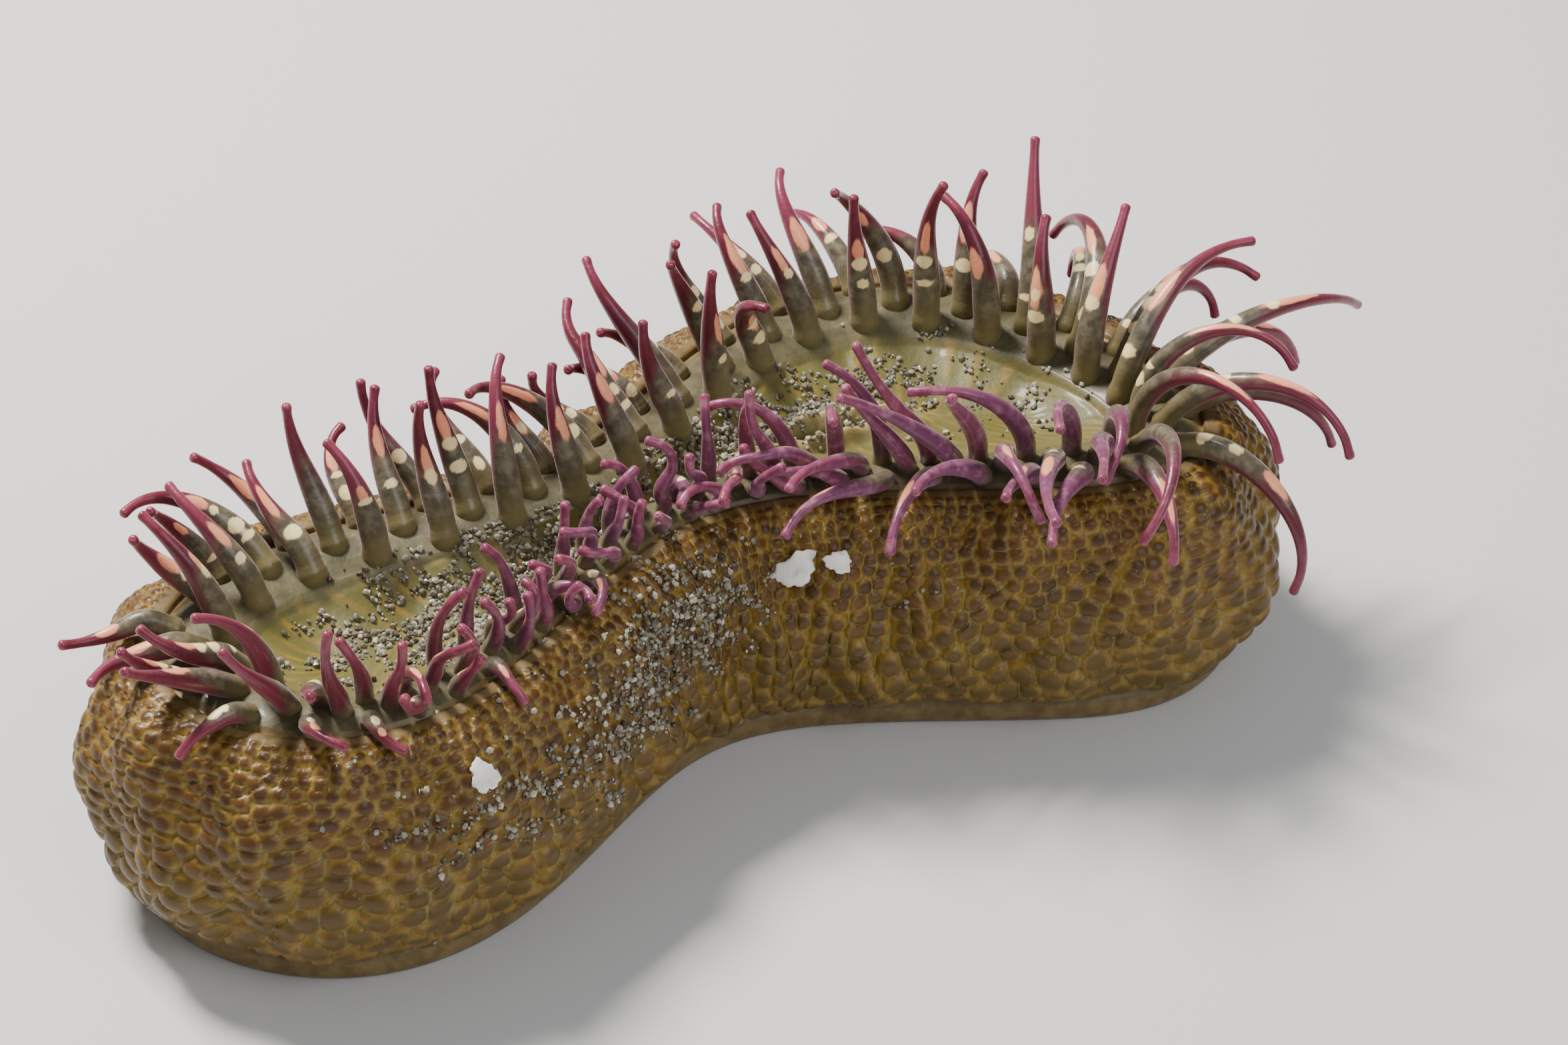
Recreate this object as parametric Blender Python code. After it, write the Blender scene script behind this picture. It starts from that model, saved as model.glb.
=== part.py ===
import math

import bmesh
import bpy
import numpy as np

mm = 0.001

# crown edge: an ellipse bent along a bowed spine and pinched at a waist
HALF_LENGTH = 43.5 * mm
HALF_WIDTH = 21.8 * mm
BOW = 8.4 * mm
BOW_SKEW = 1.7
WAIST_AT = -0.094
WAIST_SPAN = 0.713
PINCH = 0.858
TURN = math.radians(24.7)
FOOT_CENTRE = (2.0 * mm, 5.4 * mm)
EDGE_SAMPLES = 2881
EDGE_NUDGE = 0.004
# the band that carries the feelers narrows along the front
BAND_DROP = 0.42
BAND_AT = math.radians(262)
BAND_SPAN = math.radians(66)

# body wall: steps outside the crown edge, and heights above the floor
FOOT_OUT = 9.2 * mm
FOOT_FLARE = 0.9 * mm
FOOT_THICK = 2.8 * mm
NECK_OUT = 8.8 * mm
WALL_OUT = 13.2 * mm
WALL_HEIGHT = 12.0 * mm
WALL_FULL = 0.9
LIP_OUT = 6.7 * mm
LIP_HEIGHT = 24.8 * mm
LIP_TURN = math.radians(84)
LIP_ROLL = 1.5 * mm
COLLAR_IN = 6.3 * mm
SHELF_HEIGHT = 19.0 * mm
MARGIN_IN = -1.0 * mm
MARGIN_OUT = 6.0 * mm
MARGIN_HEIGHT = 25.4 * mm
MARGIN_ROUND = 0.9 * mm
DISC_DIP = 2.7 * mm
DISC_SPINE = 0.78
DISC_STEP = 0.3 * mm
DISC_SHARES = (1.0, 0.66, 0.34)
GAP = 0.3 * mm
WELD = 0.01 * mm
SLIVER = 0.001 * mm
EDGE_STEPS = 240
BAND_POINTS = 7
WALL_POINTS = 13
WALL_FROM = math.radians(86)
WALL_TO = math.radians(-90)

MOUTH_AT = 0.42
MOUTH_HALF = 0.16
MOUTH_SHARE = 0.3
MOUTH_AROUND = 16
MOUTH_WIDE = 1.7 * mm
LIP_THICK = 1.5 * mm
LIP_TALL = 1.0 * mm
LIP_SIDES = (-0.5, -0.35, 0.0, 0.35, 0.5)
LIP_RISE = (0.0, 0.75, 1.0, 0.75, 0.0)

# feelers
STATIONS = 45
SECTOR_STATIONS = 3
SEAM = 0.055
ROW_OUT = (0.2 * mm, 2.4 * mm, 4.6 * mm)
PITCH_OUT = 1.6 * mm
ROW_SIZE = (1.0, 0.96, 0.84)
ROW_LIFT = (22, 2, -12)
ROW_LENGTH = (0.92, 1.0, 0.8)
BASE_RADIUS = 1.45 * mm
TIP_RADIUS = 0.48 * mm
TAPER = 0.66
TAPER_FROM = 0.18
SINK = 1.4 * mm
ROOT_ROOM = 1.2 * GAP
NECK_DIP = 0.1
NECK_SPAN = 0.08
LENGTH_SPREAD = 0.2
LIFT_SPREAD = 12
YAW_SPREAD = 20
DROOP_SPREAD = 22
HOOK_SPREAD = 0.4
SWAY = math.radians(34)
SWAY_WAVES = 2.4
DROOP_LATE = 1.3
YAW_BY = 0.3
HOOK_FROM = 0.5
HOOK_LATE = 1.6
HOOK_SIDE = 1.5
SEED = 26
LINKS = 12
ROUNDS = 300
NEAR_EVERY = 8
NEAR_REACH = 2.0 * mm
CLEARANCE = 0.9 * mm
PUSH_SHARE = 0.7
PUSH_MOST = 6.0 * mm
BODY_REACH = 8.0 * mm
STIFFNESS = 0.03
SQUARE_GAIN = 1.12
LONG = 10.0 * mm
LONG_STOPS = (0.0, 0.3, 0.58, 0.8, 1.0)
SHORT_STOPS = (0.0, 0.4, 0.75, 1.0)

# how the feelers stand round the crown, one line per place: angle on the crown edge, length in mm,
# lift, yaw along the edge, droop over the length and hook at the tip in degrees, thickness, crowding
PLACES = (
    (0, 24, 52, -6, 110, 35, 0.98, 1.60),
    (14, 20, 58, 10, 86, 45, 0.96, 1.20),
    (32, 15, 64, 52, 36, 60, 0.92, 1.00),
    (55, 13.5, 66, 56, 8, 75, 0.90, 0.98),
    (80, 13.5, 60, 38, 12, 75, 0.88, 0.98),
    (100, 14, 50, 42, 10, 70, 0.86, 1.00),
    (125, 14, 48, 44, 10, 70, 0.86, 1.00),
    (150, 14, 50, 30, 16, 65, 0.86, 1.00),
    (172, 13, 48, 8, 22, 45, 0.86, 1.05),
    (190, 13, 46, -10, 34, 40, 0.80, 1.20),
    (206, 11.5, 52, -18, 34, 50, 0.72, 1.40),
    (222, 8.5, 68, -18, 28, 80, 0.62, 1.75),
    (262, 7.5, 70, -34, 26, 90, 0.56, 1.85),
    (285, 12.5, 56, -62, 34, 60, 0.66, 1.60),
    (308, 20, 50, -62, 44, 45, 0.78, 1.42),
    (326, 20, 52, -40, 88, 45, 0.86, 1.52),
    (340, 22.5, 52, -12, 120, 40, 0.94, 1.70),
    (352, 24.5, 52, -8, 120, 35, 0.98, 1.70),
)


def onFloor(along, across):
    """From the crown's own axes to the frame, whose origin is the middle of the foot."""
    along = along - FOOT_CENTRE[0]
    across = across - FOOT_CENTRE[1]
    c, s = math.cos(TURN), math.sin(TURN)
    return np.stack([c * along - s * across, s * along + c * across], -1)


def edge(theta):
    """Points on the crown edge."""
    t = np.cos(theta)
    return onFloor(HALF_LENGTH * t, spineAt(t) + halfAt(t) * np.sin(theta))


def outward(theta):
    """Level direction square to the crown edge, pointing away from it."""
    ahead = edge(theta + EDGE_NUDGE) - edge(theta - EDGE_NUDGE)
    ahead /= np.linalg.norm(ahead, axis=-1, keepdims=True)
    return np.stack([ahead[..., 1], -ahead[..., 0]], -1)


def bandAt(theta):
    """Width of the band that carries the feelers, as a share of its full width."""
    turn = (theta - BAND_AT + math.pi) % (2 * math.pi) - math.pi
    return 1 - BAND_DROP * np.exp(-((turn / BAND_SPAN) ** 4))


def ring(theta, out):
    """Points round the body at a step outside the crown edge, less where the band is narrow."""
    narrowed = out - (1 - bandAt(theta)) * np.clip(out, 0, MARGIN_OUT)
    return edge(theta) + outward(theta) * narrowed[..., None]


def spineAt(t):
    return BOW * (1 - t * t) * (1 + BOW_SKEW * t)


def halfAt(t):
    return HALF_WIDTH * (1 - PINCH * np.exp(-(((t - WAIST_AT) / WAIST_SPAN) ** 2)))


def evenAngle(station, out):
    """Angle for a fraction of the way round the feelers, measured along the edge and by crowding."""
    fine = np.linspace(0, 2 * math.pi, EDGE_SAMPLES)
    step = np.linalg.norm(np.diff(ring(fine, out), axis=0), axis=1)
    crowding = placeValues(fine[:-1])[-1]
    run = np.concatenate([[0], np.cumsum(step * crowding)])
    whole = np.floor(station)
    return np.interp((station - whole) * run[-1], run, fine) + 2 * math.pi * whole


def outset(xy):
    """How many steps outside the crown edge each point is, and the level direction out there."""
    theta = np.linspace(0, 2 * math.pi, EDGE_STEPS, endpoint=False)
    line = edge(theta)
    normal = outward(theta)
    away = xy[:, None] - line[None]
    near = np.argmin(np.sum(away**2, axis=2), axis=1)
    pick = np.arange(len(xy))
    out = np.sum(away[pick, near] * normal[near], axis=1)
    band = bandAt(theta)[near]
    return out + np.clip(out, 0, band * MARGIN_OUT) * (1 / band - 1), normal[near]


def wallPoint(turn):
    """The body wall's step and height, from the neck at -90 degrees to the lip at 90."""
    rising = turn > 0
    end = np.where(rising, LIP_OUT, NECK_OUT)
    tall = np.where(rising, LIP_HEIGHT - WALL_HEIGHT, WALL_HEIGHT - FOOT_THICK - GAP)
    return end + (WALL_OUT - end) * np.cos(turn) ** WALL_FULL, WALL_HEIGHT + tall * np.sin(turn)


def marginTop(out):
    """Height of the rounded band that carries the feelers."""
    middle = (MARGIN_IN + MARGIN_OUT) / 2
    return MARGIN_HEIGHT - MARGIN_ROUND * ((out - middle) / (MARGIN_OUT - middle)) ** 2


def profile():
    """Step and height down the whole outside of the body, from the disc to the foot."""
    out = np.linspace(MARGIN_IN, MARGIN_OUT, BAND_POINTS)
    top = np.stack([out, marginTop(out)], -1)
    turn = np.linspace(WALL_FROM, WALL_TO, WALL_POINTS)
    wall = np.stack(wallPoint(turn), -1)
    foot = np.array([[FOOT_OUT + FOOT_FLARE, FOOT_THICK * 0.5], [FOOT_OUT, 0.0]])
    return np.concatenate([top, wall, foot])


def placeValues(theta):
    """Each place's values blended round the crown."""
    table = np.array(PLACES, float)
    angle = np.radians(table[:, 0])
    angle = np.concatenate([angle[-2:] - 2 * math.pi, angle, angle[:2] + 2 * math.pi])
    rows = np.concatenate([table[-2:], table, table[:2]])[:, 1:]
    turn = theta % (2 * math.pi)
    return [np.interp(turn, angle, column) for column in rows.T]


def thickness(v):
    """A feeler's radius along its length, as a share of its base."""
    neck = 1 - NECK_DIP * np.exp(-((v / NECK_SPAN) ** 2))
    share = np.clip((v - TAPER_FROM) / (1 - TAPER_FROM), 0, 1)
    return neck * (1 - TAPER * share * share * (3 - 2 * share))


def feelerPaths():
    """Centre lines of all the feelers: row, station, radius at the base and points base to tip."""
    rng = np.random.default_rng(SEED)
    row = np.repeat(np.arange(len(ROW_OUT)), STATIONS)
    station = np.tile(np.arange(STATIONS), len(ROW_OUT))
    out = np.take(ROW_OUT, row)
    theta = evenAngle((station + 0.5 + 0.5 * row) / STATIONS, PITCH_OUT)
    length, lift, yaw, droop, hook, size = placeValues(theta)[:-1]
    count = len(row)
    length = length * mm * np.take(ROW_LENGTH, row) * (1 + rng.uniform(-LENGTH_SPREAD, LENGTH_SPREAD, count))
    lift = np.radians(lift + np.take(ROW_LIFT, row) + rng.uniform(-LIFT_SPREAD, LIFT_SPREAD, count))
    yaw = np.radians(yaw + rng.uniform(-YAW_SPREAD, YAW_SPREAD, count))
    droop = np.radians(droop + rng.uniform(-DROOP_SPREAD, DROOP_SPREAD, count))
    hook = np.radians(hook * (1 + rng.uniform(-HOOK_SPREAD, HOOK_SPREAD, count)))
    hookTurn = rng.uniform(0, 2 * math.pi, count)
    sway = rng.uniform(-SWAY, SWAY, count)
    foot = ring(theta, out)
    room = np.linalg.norm(foot[:, None] - foot[None], axis=2) + np.eye(count)
    base = np.minimum(BASE_RADIUS * size * np.take(ROW_SIZE, row), room.min(axis=1) / 2 - ROOT_ROOM)

    away = outward(theta)
    ahead = np.stack([-away[:, 1], away[:, 0]], -1)
    v = (np.arange(LINKS) + 0.5)[None] / LINKS
    bend = hook[:, None] * np.clip((v - HOOK_FROM) / (1 - HOOK_FROM), 0, 1) ** HOOK_LATE
    pitch = lift[:, None] - droop[:, None] * v**DROOP_LATE + bend * np.cos(hookTurn)[:, None]
    side = yaw[:, None] * np.clip(v / YAW_BY, 0, 1) + sway[:, None] * np.sin(SWAY_WAVES * v) * v
    side += HOOK_SIDE * bend * np.sin(hookTurn)[:, None]
    flat = away[:, None] * np.cos(side)[..., None] + ahead[:, None] * np.sin(side)[..., None]
    steps = np.concatenate([flat * np.cos(pitch)[..., None], np.sin(pitch)[..., None]], -1)
    steps *= (length / LINKS)[:, None, None]
    start = np.concatenate([foot, marginTop(out)[:, None]], -1)[:, None]
    points = np.concatenate([start, start + np.cumsum(steps, axis=1)], axis=1)
    return row, station, base, settle(points, base)


def settle(points, base):
    """Moves the feelers clear of each other, the body and the floor, keeping their lengths."""
    count, knots = points.shape[:2]
    v = np.linspace(0, 1, knots)
    radius = np.maximum(base[:, None] * thickness(v)[None], TIP_RADIUS)
    rest = np.diff(points, axis=1)
    link = np.linalg.norm(rest, axis=2, keepdims=True)
    owner = np.repeat(np.arange(count), knots)
    loose = np.tile(np.clip((np.arange(knots) - 1) / 2, 0, 1), count)[:, None]
    body = profile()
    flatRadius = radius.ravel()
    for turn in range(ROUNDS):
        flat = points.reshape(-1, 3)
        if turn % NEAR_EVERY == 0:
            near = np.linalg.norm(flat[:, None] - flat[None], axis=2)
            reach = flatRadius[:, None] + flatRadius[None] + CLEARANCE + NEAR_REACH
            first, second = np.nonzero(np.triu((near < reach) & (owner[:, None] != owner[None])))
        apart = flat[first] - flat[second]
        span = np.linalg.norm(apart, axis=1)
        short = np.clip(flatRadius[first] + flatRadius[second] + CLEARANCE - span, 0, None)
        push = apart / span[:, None] * (0.5 * short)[:, None]
        move = np.zeros_like(flat)
        np.add.at(move, first, push)
        np.add.at(move, second, -push)
        move += offBody(flat, flatRadius, body)
        move[:, 2] += np.clip(flatRadius + CLEARANCE - flat[:, 2], 0, None)
        points = (flat + PUSH_SHARE * move * loose).reshape(points.shape)
        steps = np.diff(points, axis=1)
        even = steps.copy()
        even[:, 1:-1] = (steps[:, :-2] + steps[:, 1:-1] + steps[:, 2:]) / 3
        steps = even + STIFFNESS * rest
        steps *= link / np.linalg.norm(steps, axis=2, keepdims=True)
        points = np.concatenate([points[:, :1], points[:, :1] + np.cumsum(steps, axis=1)], axis=1)
    return points


def offBody(flat, radius, body):
    """The move that brings each point out to the body's surface plus its own radius."""
    step, away = outset(flat[:, :2])
    place = np.stack([step, flat[:, 2]], -1)
    start = body[:-1]
    run = np.diff(body, axis=0)
    long = np.sum(run**2, axis=1)
    share = np.clip(np.sum((place[:, None] - start[None]) * run[None], axis=2) / long, 0, 1)
    foot = start[None] + share[..., None] * run[None]
    gap = np.linalg.norm(place[:, None] - foot, axis=2)
    best = np.argmin(gap, axis=1)
    normal = np.stack([-run[:, 1], run[:, 0]], -1) / np.sqrt(long)[:, None]
    pick = np.arange(len(flat))
    signed = np.sum((place - foot[pick, best]) * normal[best], axis=1)
    needed = np.clip(radius + CLEARANCE - signed, 0, PUSH_MOST) * (gap[pick, best] < BODY_REACH)
    needed = needed * (step > MARGIN_IN)
    level = away * (needed * normal[best, 0])[:, None]
    return np.concatenate([level, (needed * normal[best, 1])[:, None]], axis=1)


def clearScene():
    for old in list(bpy.data.objects):
        bpy.data.objects.remove(old, do_unlink=True)


def newCollection(name):
    made = bpy.data.collections.new(name)
    bpy.context.scene.collection.children.link(made)
    return made


def material(name, colour, roughness):
    made = bpy.data.materials.new(name)
    made.use_nodes = True
    shader = made.node_tree.nodes["Principled BSDF"]
    shader.inputs["Base Color"].default_value = (*colour, 1)
    shader.inputs["Roughness"].default_value = roughness
    shader.inputs["Metallic"].default_value = 0.0
    return made


def place(mesh, name, collection, look):
    made = bpy.data.objects.new(name, mesh)
    collection.objects.link(made)
    if look:
        mesh.materials.append(look)
    return made


def loft(rings, name, collection, look, joined=False):
    """A closed solid through rings of points; joined ends meet each other, others are capped."""
    rings = np.asarray(rings)
    layers, count = rings.shape[:2]
    form = bmesh.new()
    rows = [[form.verts.new(point) for point in layer] for layer in rings]
    last = layers if joined else layers - 1
    for i in range(last):
        lower = rows[i]
        upper = rows[(i + 1) % layers]
        for j in range(count):
            k = (j + 1) % count
            form.faces.new((lower[j], lower[k], upper[k], upper[j]))
    if not joined:
        form.faces.new(rows[0][::-1])
        form.faces.new(rows[-1])
    bmesh.ops.remove_doubles(form, verts=form.verts, dist=WELD)
    bmesh.ops.dissolve_degenerate(form, edges=form.edges, dist=SLIVER)
    bmesh.ops.recalc_face_normals(form, faces=form.faces)
    mesh = bpy.data.meshes.new(name)
    form.to_mesh(mesh)
    form.free()
    mesh.shade_smooth()
    return place(mesh, name, collection, look)


def level(theta, out, height):
    """A ring at one height, or at a height for each of its points."""
    line = ring(theta, out)
    tall = np.broadcast_to(height, theta.shape)
    return np.concatenate([line, tall[:, None]], axis=1)


def slant(out):
    """How many stations the slanted lines between the feelers have moved round at a step out."""
    return 0.5 * (out - ROW_OUT[0]) / (ROW_OUT[1] - ROW_OUT[0])


def evenRing(out):
    """Angles that line up with the ends of the feelers' stretches at a step out."""
    return evenAngle((np.arange(STATIONS) + slant(out)) / STATIONS, PITCH_OUT)


def makeFoot(collection, look):
    theta = evenRing(MARGIN_OUT)
    rings = [
        level(theta, FOOT_OUT, 0.0),
        level(theta, FOOT_OUT + FOOT_FLARE, FOOT_THICK / 2),
        level(theta, NECK_OUT, FOOT_THICK),
    ]
    loft(rings, "pedal_disc", collection, look)


def makeColumn(collection, look):
    theta = evenRing(MARGIN_OUT)
    top = math.asin((SHELF_HEIGHT - WALL_HEIGHT) / (LIP_HEIGHT - WALL_HEIGHT))
    turns = (-math.pi / 2, -math.pi / 4, 0.0, top)
    rings = [level(theta, *wallPoint(np.array(turn))) for turn in turns]
    loft(rings, "column", collection, look)


def makeCollar(collection, look):
    theta = evenRing(MARGIN_OUT)
    low = math.asin((SHELF_HEIGHT + GAP - WALL_HEIGHT) / (LIP_HEIGHT - WALL_HEIGHT))
    turns = np.linspace(low, LIP_TURN, 3)
    rings = [level(theta, *wallPoint(turn)) for turn in turns]
    rings.append(level(theta, COLLAR_IN, LIP_HEIGHT - LIP_ROLL))
    rings.append(level(theta, COLLAR_IN, SHELF_HEIGHT + GAP))
    loft(rings, "collar", collection, look, joined=True)


def dishPoint(theta, share):
    """A point of the oral disc between its spine at 0 and its edge at 1."""
    t = DISC_SPINE * np.cos(theta)
    spine = onFloor(HALF_LENGTH * t, spineAt(t))
    rim = ring(theta, MARGIN_IN - GAP)
    return spine + share * (rim - spine)


def dishHeight(share):
    return MARGIN_HEIGHT - MARGIN_ROUND - DISC_STEP - DISC_DIP * (1 - share**2)


def makeDisc(collection, look):
    theta = evenRing(MARGIN_IN)
    rings = [level(theta, MARGIN_IN - GAP, SHELF_HEIGHT + GAP)]
    for share in DISC_SHARES:
        tall = np.full((len(theta), 1), dishHeight(share))
        rings.append(np.concatenate([dishPoint(theta, share), tall], axis=1))
    loft(rings, "oral_disc", collection, look)


def makeMouth(collection, look):
    """Two lips round a slit that lies along the spine of the larger lobe."""
    sides = LIP_THICK * np.array(LIP_SIDES)
    tall = dishHeight(MOUTH_SHARE) + GAP + LIP_TALL * np.array(LIP_RISE)
    rings = []
    for turn in np.linspace(0, 2 * math.pi, MOUTH_AROUND, endpoint=False):
        t = MOUTH_AT + MOUTH_HALF * math.cos(turn)
        along = HALF_LENGTH * t + sides * math.cos(turn)
        across = spineAt(t) + (MOUTH_WIDE + sides) * math.sin(turn)
        rings.append(np.concatenate([onFloor(along, across), tall[:, None]], axis=1))
    loft(rings, "mouth_lips", collection, look, joined=True)


def marginBlock(sector, name, collection, look):
    """One stretch of the band that carries the feelers, its ends slanted between their rows."""
    outs = np.array([MARGIN_IN, MARGIN_IN, ROW_OUT[1], MARGIN_OUT, MARGIN_OUT])
    tops = marginTop(outs)
    tops[[0, -1]] = SHELF_HEIGHT + GAP
    stations = sector * SECTOR_STATIONS + np.arange(SECTOR_STATIONS + 1.0)
    stations[0] += SEAM
    stations[-1] -= SEAM
    rings = []
    for station in stations:
        theta = evenAngle((station + slant(outs)) / STATIONS, PITCH_OUT)
        rings.append(np.concatenate([ring(theta, outs), tops[:, None]], axis=1))
    return loft(rings, name, collection, look)


def feelerTubes(paths, radii, name, collection):
    """Tapered tubes along the centre lines, as one mesh of closed tubes."""
    curve = bpy.data.curves.new(name, "CURVE")
    curve.dimensions = "3D"
    curve.bevel_depth = BASE_RADIUS
    curve.bevel_resolution = 0
    curve.use_fill_caps = True
    for path, radius in zip(paths, radii):
        spline = curve.splines.new("POLY")
        spline.points.add(len(path) - 1)
        for knot, point, size in zip(spline.points, path, radius):
            knot.co = (*point, 1)
            knot.radius = size / BASE_RADIUS
    drawn = place(curve, name + "_curve", collection, None)
    graph = bpy.context.evaluated_depsgraph_get()
    mesh = bpy.data.meshes.new_from_object(drawn.evaluated_get(graph))
    bpy.data.objects.remove(drawn, do_unlink=True)
    form = bmesh.new()
    form.from_mesh(mesh)
    bmesh.ops.remove_doubles(form, verts=form.verts, dist=WELD)
    bmesh.ops.recalc_face_normals(form, faces=form.faces)
    form.to_mesh(mesh)
    form.free()
    cutter = place(mesh, name, collection, None)
    cutter.hide_render = True
    cutter.display_type = "WIRE"
    return cutter


def makeFeelers(collection, cutters, look):
    row, station, base, points = feelerPaths()
    length = np.sum(np.linalg.norm(np.diff(points, axis=1), axis=2), axis=1)
    knots = np.linspace(0, 1, points.shape[1])
    for sector in range(STATIONS // SECTOR_STATIONS):
        name = f"tentacles_{sector + 1:02d}"
        block = marginBlock(sector, name, collection, look)
        paths = []
        radii = []
        for i in np.nonzero(station // SECTOR_STATIONS == sector)[0]:
            stops = np.array(LONG_STOPS if length[i] > LONG else SHORT_STOPS)
            path = np.stack([np.interp(stops, knots, points[i, :, axis]) for axis in range(3)], -1)
            root = path[:1] - np.array([[0, 0, SINK]])
            size = np.maximum(base[i] * thickness(stops), TIP_RADIUS)
            paths.append(np.concatenate([root, path]))
            radii.append(SQUARE_GAIN * np.append(size[:1], size))
        tubes = feelerTubes(paths, radii, name + "_tubes", cutters)
        join = block.modifiers.new("feelers", "BOOLEAN")
        join.operation = "UNION"
        join.solver = "EXACT"
        join.object = tubes


clearScene()
body = newCollection("sea_anemone")
cutters = newCollection("feeler_tubes")
flesh = material("column_flesh", (0.16, 0.09, 0.03), 0.45)
makeFoot(body, flesh)
makeColumn(body, flesh)
makeCollar(body, flesh)
makeDisc(body, material("disc_flesh", (0.22, 0.2, 0.07), 0.4))
makeMouth(body, material("lip_flesh", (0.4, 0.34, 0.2), 0.4))
makeFeelers(body, cutters, material("feeler_flesh", (0.3, 0.09, 0.16), 0.35))
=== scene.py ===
import math
import bpy
import numpy as np
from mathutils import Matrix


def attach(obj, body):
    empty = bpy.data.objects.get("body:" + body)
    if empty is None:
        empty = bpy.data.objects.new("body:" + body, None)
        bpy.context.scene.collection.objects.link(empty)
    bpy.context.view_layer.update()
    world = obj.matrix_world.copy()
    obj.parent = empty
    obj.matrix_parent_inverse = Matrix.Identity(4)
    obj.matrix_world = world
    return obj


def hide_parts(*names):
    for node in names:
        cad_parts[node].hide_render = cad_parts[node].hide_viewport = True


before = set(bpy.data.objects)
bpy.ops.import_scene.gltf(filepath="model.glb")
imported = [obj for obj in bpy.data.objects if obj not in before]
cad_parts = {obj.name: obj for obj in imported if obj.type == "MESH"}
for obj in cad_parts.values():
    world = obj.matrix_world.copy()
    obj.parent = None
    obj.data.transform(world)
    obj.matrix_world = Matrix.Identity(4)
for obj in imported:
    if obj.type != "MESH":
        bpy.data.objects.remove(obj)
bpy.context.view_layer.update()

mm = 0.001

# crown edge: an ellipse bent along a bowed spine and pinched at a waist, as the solids have it
crown = {"halfLength": 43.5 * mm, "halfWidth": 21.8 * mm, "bow": 8.4 * mm, "bowSkew": 1.7,
         "waistAt": -0.094, "waistSpan": 0.713, "pinch": 0.858, "turn": math.radians(24.7),
         "footCentre": (2.0 * mm, 5.4 * mm)}
# body wall: steps outside the crown edge, and heights above the floor
wall = {"footOut": 9.2 * mm, "footFlare": 0.9 * mm, "footThick": 2.8 * mm, "gap": 0.3 * mm,
        "neckOut": 8.8 * mm, "wallOut": 13.2 * mm, "wallHeight": 12.0 * mm,
        "lipOut": 6.7 * mm, "lipHeight": 24.8 * mm,
        "marginIn": -1.0 * mm, "marginOut": 6.0 * mm, "marginHeight": 25.4 * mm, "marginRound": 0.9 * mm,
        "discDip": 2.7 * mm, "discSpine": 0.78,
        "bandDrop": 0.42, "bandAt": math.radians(262), "bandSpan": math.radians(66),
        "edgeSamples": 2881, "edgeSteps": 240, "edgeNudge": 0.004, "full": 0.9}
# feelers: rows of them round the crown, with the same spread and seed as the solids
feeler = {"stations": 45, "rowOut": (0.2 * mm, 2.4 * mm, 4.6 * mm), "pitchOut": 1.6 * mm,
          "rowSize": (1.0, 0.96, 0.84), "rowLift": (22, 2, -12), "rowLength": (0.92, 1.0, 0.8),
          "baseRadius": 1.45 * mm, "tipRadius": 0.48 * mm, "taper": 0.66, "taperFrom": 0.18,
          "neckDip": 0.1, "neckSpan": 0.08, "links": 12, "rounds": 300, "nearEvery": 8, "nearReach": 2.0 * mm,
          "pushShare": 0.7, "pushMost": 6 * mm, "bodyReach": 8 * mm, "rootRoom": 1.2,
          "clearance": 0.9 * mm, "stiffness": 0.03, "lengthSpread": 0.2, "liftSpread": 12, "yawSpread": 20,
          "droopSpread": 22, "hookSpread": 0.4, "hookFrom": 0.5, "hookLate": 1.6, "hookSide": 1.5,
          "sway": math.radians(34), "swayWaves": 2.4, "droopLate": 1.3, "yawBy": 0.3, "seed": 26}
# angle on the crown edge, length in mm, lift, yaw, droop and hook in degrees, thickness and crowding
places = (
    (0, 24, 52, -6, 110, 35, 0.98, 1.60),
    (14, 20, 58, 10, 86, 45, 0.96, 1.20),
    (32, 15, 64, 52, 36, 60, 0.92, 1.00),
    (55, 13.5, 66, 56, 8, 75, 0.90, 0.98),
    (80, 13.5, 60, 38, 12, 75, 0.88, 0.98),
    (100, 14, 50, 42, 10, 70, 0.86, 1.00),
    (125, 14, 48, 44, 10, 70, 0.86, 1.00),
    (150, 14, 50, 30, 16, 65, 0.86, 1.00),
    (172, 13, 48, 8, 22, 45, 0.86, 1.05),
    (190, 13, 46, -10, 34, 40, 0.80, 1.20),
    (206, 11.5, 52, -18, 34, 50, 0.72, 1.40),
    (222, 8.5, 68, -18, 28, 80, 0.62, 1.75),
    (262, 7.5, 70, -34, 26, 90, 0.56, 1.85),
    (285, 12.5, 56, -62, 34, 60, 0.66, 1.60),
    (308, 20, 50, -62, 44, 45, 0.78, 1.42),
    (326, 20, 52, -40, 88, 45, 0.86, 1.52),
    (340, 22.5, 52, -12, 120, 40, 0.94, 1.70),
    (352, 24.5, 52, -8, 120, 35, 0.98, 1.70),
)


def ramp(value, span):  # 0 to 1 while the value goes from 0 to the span
    return np.clip(value / span, 0, 1)


def lengths(vectors):  # square root of the summed squares
    return np.linalg.norm(vectors, axis=-1)


def unit(vectors):
    return vectors / lengths(vectors)[..., None]


def runAlong(line, crowding=1):  # distance from the line's start at each of its points
    return np.concatenate([[0], np.cumsum(lengths(np.diff(line, axis=0)) * crowding)])


def spineAt(t):  # the middle line's bow: a parabola from end to end, tilted by the skew
    return crown["bow"] * (1 - t * t) * (1 + crown["bowSkew"] * t)


def halfAt(t):  # half the width, less a bell-shaped pinch at the waist
    dip = np.exp(-(((t - crown["waistAt"]) / crown["waistSpan"]) ** 2))
    return crown["halfWidth"] * (1 - crown["pinch"] * dip)


def onFloor(along, across):  # from the crown's own axes to the frame
    along = along - crown["footCentre"][0]
    across = across - crown["footCentre"][1]
    c, s = math.cos(crown["turn"]), math.sin(crown["turn"])
    return np.stack([c * along - s * across, s * along + c * across], -1)


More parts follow.
